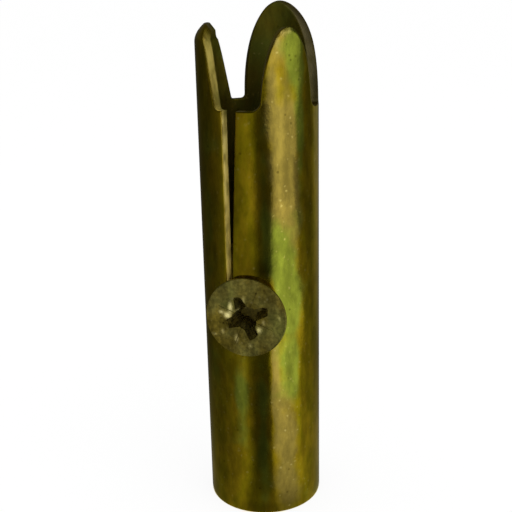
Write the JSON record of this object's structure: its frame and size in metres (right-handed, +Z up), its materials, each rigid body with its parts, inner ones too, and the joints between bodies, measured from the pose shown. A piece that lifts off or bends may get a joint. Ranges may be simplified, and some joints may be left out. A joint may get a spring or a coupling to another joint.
{
  "type": "ceiling anchor",
  "caption": "Round slotted steel sleeve with three rounded petals at one end, a countersunk cross screw through its wall and a threaded core in its lower bore.",
  "frame": {"origin": "on the sleeve's axis, in the plane of its bottom rim", "axes": "+Z up along the sleeve towards its petals; the cross screw's head faces -Y"},
  "size_m": [0.012, 0.0126, 0.0522],
  "materials": {
    "yellow_plated_steel": "yellow passivated zinc plating on rolled steel, glossy with a green and gold iridescence",
    "dull_plated_steel": "yellow passivated zinc plating, dull",
    "plated_bar": "turned bar, yellow passivated zinc plating, satin"
  },
  "bodies": {
    "root": {"sleeve": "yellow_plated_steel", "cross_screw": "dull_plated_steel", "threaded_core": "plated_bar"}
  },
  "joints": []
}
